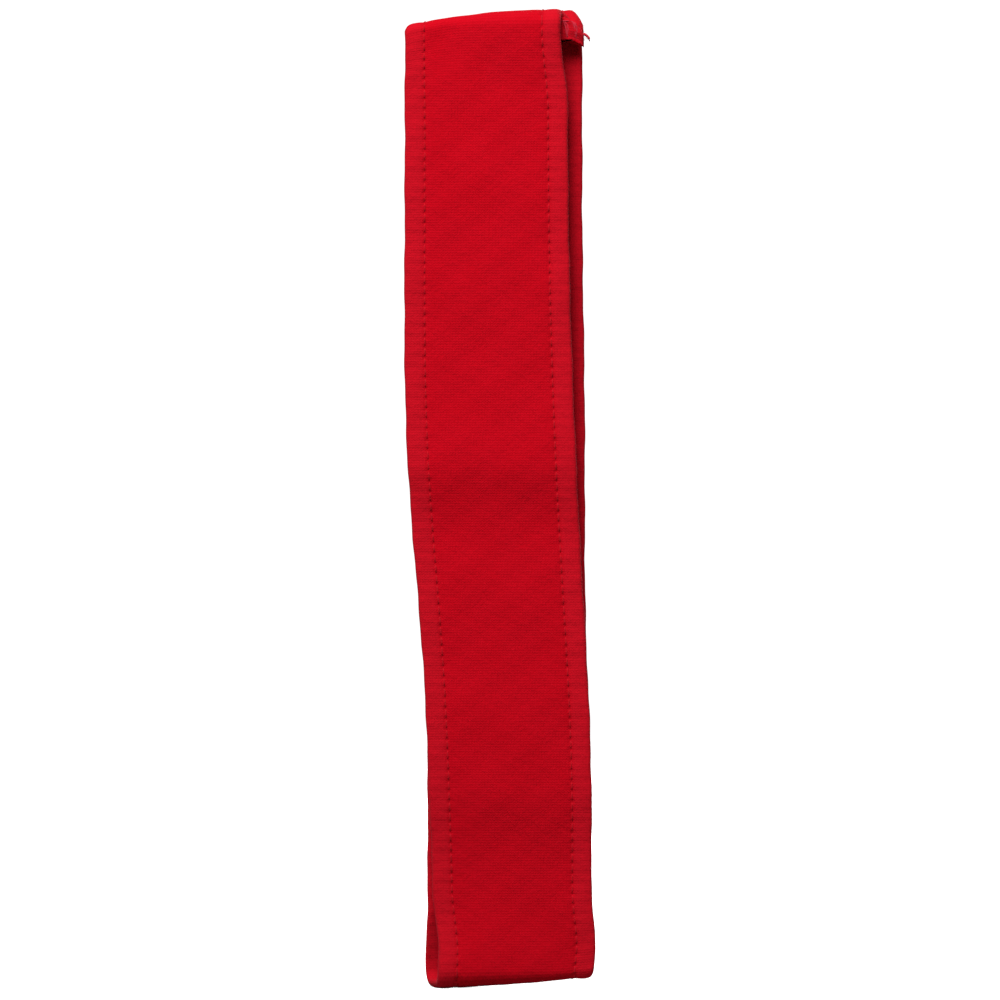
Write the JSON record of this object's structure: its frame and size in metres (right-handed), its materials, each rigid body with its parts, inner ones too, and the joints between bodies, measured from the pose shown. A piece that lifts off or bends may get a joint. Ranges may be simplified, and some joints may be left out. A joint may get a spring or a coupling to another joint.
{
  "type": "sports headband",
  "caption": "Stretch-knit sports headband: a hemmed strip overlocked into a loop, laid flat; the loop opens to a ring.",
  "frame": {"origin": "centre of the flattened band", "axes": "+Z along the flattened loop towards the sewn join, +X across the band, +Y from the front layer to the back layer"},
  "size_m": [0.0463, 0.0088, 0.2398],
  "materials": {
    "knit": "matte fine red jersey knit",
    "thread": "slightly glossy red sewing thread"
  },
  "bodies": {
    "bottom_fold": {"bottom_fold": "knit", "hem_needle_thread_left": "thread", "hem_needle_thread_right": "thread", "hem_looper_thread_left": "thread", "hem_looper_thread_right": "thread"},
    "front_segment_1": {"front_segment_1": "knit"},
    "front_segment_2": {"front_segment_2": "knit"},
    "front_segment_3": {"front_segment_3": "knit"},
    "front_segment_4": {"front_segment_4": "knit"},
    "front_segment_5": {"front_segment_5": "knit"},
    "front_segment_6": {"front_segment_6": "knit"},
    "front_segment_7": {"front_segment_7": "knit"},
    "front_segment_8": {"front_segment_8": "knit"},
    "front_segment_9": {"front_segment_9": "knit"},
    "back_segment_1": {"back_segment_1": "knit"},
    "back_segment_2": {"back_segment_2": "knit"},
    "back_segment_3": {"back_segment_3": "knit"},
    "back_segment_4": {"back_segment_4": "knit"},
    "back_segment_5": {"back_segment_5": "knit"},
    "back_segment_6": {"back_segment_6": "knit"},
    "back_segment_7": {"back_segment_7": "knit"},
    "back_segment_8": {"back_segment_8": "knit"},
    "back_segment_9": {"back_segment_9": "knit"},
    "front_strip_end": {"front_strip_end": "knit", "seam_needle_thread": "thread", "seam_upper_looper_thread": "thread"},
    "back_strip_end": {"back_strip_end": "knit", "seam_lower_looper_thread": "thread"}
  },
  "joints": [
    {"name": "loop_opening", "type": "hinge", "parent": "bottom_fold", "child": "front_segment_1", "pos_m": [0, -0.002, -0.1158], "axis": [1, 0, 0], "range_deg": [0, 80], "deforming": ["hem_needle_thread_left", "hem_needle_thread_right", "hem_looper_thread_left", "hem_looper_thread_right"]},
    {"name": "front_bend_1", "type": "hinge", "parent": "front_segment_1", "child": "front_segment_2", "pos_m": [0, -0.0027, -0.09007], "axis": [1, 0, 0], "range_deg": [-20, 0]},
    {"name": "front_bend_2", "type": "hinge", "parent": "front_segment_2", "child": "front_segment_3", "pos_m": [0, -0.0027, -0.06433], "axis": [1, 0, 0], "range_deg": [-20, 0]},
    {"name": "front_bend_3", "type": "hinge", "parent": "front_segment_3", "child": "front_segment_4", "pos_m": [0, -0.0027, -0.0386], "axis": [1, 0, 0], "range_deg": [-20, 0]},
    {"name": "front_bend_4", "type": "hinge", "parent": "front_segment_4", "child": "front_segment_5", "pos_m": [0, -0.0027, -0.01287], "axis": [1, 0, 0], "range_deg": [-20, 0]},
    {"name": "front_bend_5", "type": "hinge", "parent": "front_segment_5", "child": "front_segment_6", "pos_m": [0, -0.0027, 0.01287], "axis": [1, 0, 0], "range_deg": [-20, 0]},
    {"name": "front_bend_6", "type": "hinge", "parent": "front_segment_6", "child": "front_segment_7", "pos_m": [0, -0.0027, 0.0386], "axis": [1, 0, 0], "range_deg": [-20, 0]},
    {"name": "front_bend_7", "type": "hinge", "parent": "front_segment_7", "child": "front_segment_8", "pos_m": [0, -0.0027, 0.06433], "axis": [1, 0, 0], "range_deg": [-20, 0]},
    {"name": "front_bend_8", "type": "hinge", "parent": "front_segment_8", "child": "front_segment_9", "pos_m": [0, -0.0027, 0.09007], "axis": [1, 0, 0], "range_deg": [-20, 0]},
    {"name": "front_seam_bend", "type": "hinge", "parent": "front_segment_9", "child": "front_strip_end", "pos_m": [0, -0.002, 0.1158], "axis": [1, 0, 0], "range_deg": [0, 80]},
    {"name": "back_fold_bend", "type": "hinge", "parent": "bottom_fold", "child": "back_segment_1", "pos_m": [0, 0.002, -0.1158], "axis": [-1, 0, 0], "range_deg": [0, 80]},
    {"name": "back_bend_1", "type": "hinge", "parent": "back_segment_1", "child": "back_segment_2", "pos_m": [0, 0.0027, -0.09007], "axis": [-1, 0, 0], "range_deg": [-20, 0]},
    {"name": "back_bend_2", "type": "hinge", "parent": "back_segment_2", "child": "back_segment_3", "pos_m": [0, 0.0027, -0.06433], "axis": [-1, 0, 0], "range_deg": [-20, 0]},
    {"name": "back_bend_3", "type": "hinge", "parent": "back_segment_3", "child": "back_segment_4", "pos_m": [0, 0.0027, -0.0386], "axis": [-1, 0, 0], "range_deg": [-20, 0]},
    {"name": "back_bend_4", "type": "hinge", "parent": "back_segment_4", "child": "back_segment_5", "pos_m": [0, 0.0027, -0.01287], "axis": [-1, 0, 0], "range_deg": [-20, 0]},
    {"name": "back_bend_5", "type": "hinge", "parent": "back_segment_5", "child": "back_segment_6", "pos_m": [0, 0.0027, 0.01287], "axis": [-1, 0, 0], "range_deg": [-20, 0]},
    {"name": "back_bend_6", "type": "hinge", "parent": "back_segment_6", "child": "back_segment_7", "pos_m": [0, 0.0027, 0.0386], "axis": [-1, 0, 0], "range_deg": [-20, 0]},
    {"name": "back_bend_7", "type": "hinge", "parent": "back_segment_7", "child": "back_segment_8", "pos_m": [0, 0.0027, 0.06433], "axis": [-1, 0, 0], "range_deg": [-20, 0]},
    {"name": "back_bend_8", "type": "hinge", "parent": "back_segment_8", "child": "back_segment_9", "pos_m": [0, 0.0027, 0.09007], "axis": [-1, 0, 0], "range_deg": [-20, 0]},
    {"name": "back_seam_bend", "type": "hinge", "parent": "back_segment_9", "child": "back_strip_end", "pos_m": [0, 0.002, 0.1158], "axis": [-1, 0, 0], "range_deg": [0, 80]}
  ],
  "couplings": [
    {"joint": "front_bend_1", "follows": "loop_opening", "ratio": -0.25},
    {"joint": "front_bend_2", "follows": "loop_opening", "ratio": -0.25},
    {"joint": "front_bend_3", "follows": "loop_opening", "ratio": -0.25},
    {"joint": "front_bend_4", "follows": "loop_opening", "ratio": -0.25},
    {"joint": "front_bend_5", "follows": "loop_opening", "ratio": -0.25},
    {"joint": "front_bend_6", "follows": "loop_opening", "ratio": -0.25},
    {"joint": "front_bend_7", "follows": "loop_opening", "ratio": -0.25},
    {"joint": "front_bend_8", "follows": "loop_opening", "ratio": -0.25},
    {"joint": "front_seam_bend", "follows": "loop_opening", "ratio": 1},
    {"joint": "back_fold_bend", "follows": "loop_opening", "ratio": 1},
    {"joint": "back_bend_1", "follows": "loop_opening", "ratio": -0.25},
    {"joint": "back_bend_2", "follows": "loop_opening", "ratio": -0.25},
    {"joint": "back_bend_3", "follows": "loop_opening", "ratio": -0.25},
    {"joint": "back_bend_4", "follows": "loop_opening", "ratio": -0.25},
    {"joint": "back_bend_5", "follows": "loop_opening", "ratio": -0.25},
    {"joint": "back_bend_6", "follows": "loop_opening", "ratio": -0.25},
    {"joint": "back_bend_7", "follows": "loop_opening", "ratio": -0.25},
    {"joint": "back_bend_8", "follows": "loop_opening", "ratio": -0.25},
    {"joint": "back_seam_bend", "follows": "loop_opening", "ratio": 1}
  ]
}
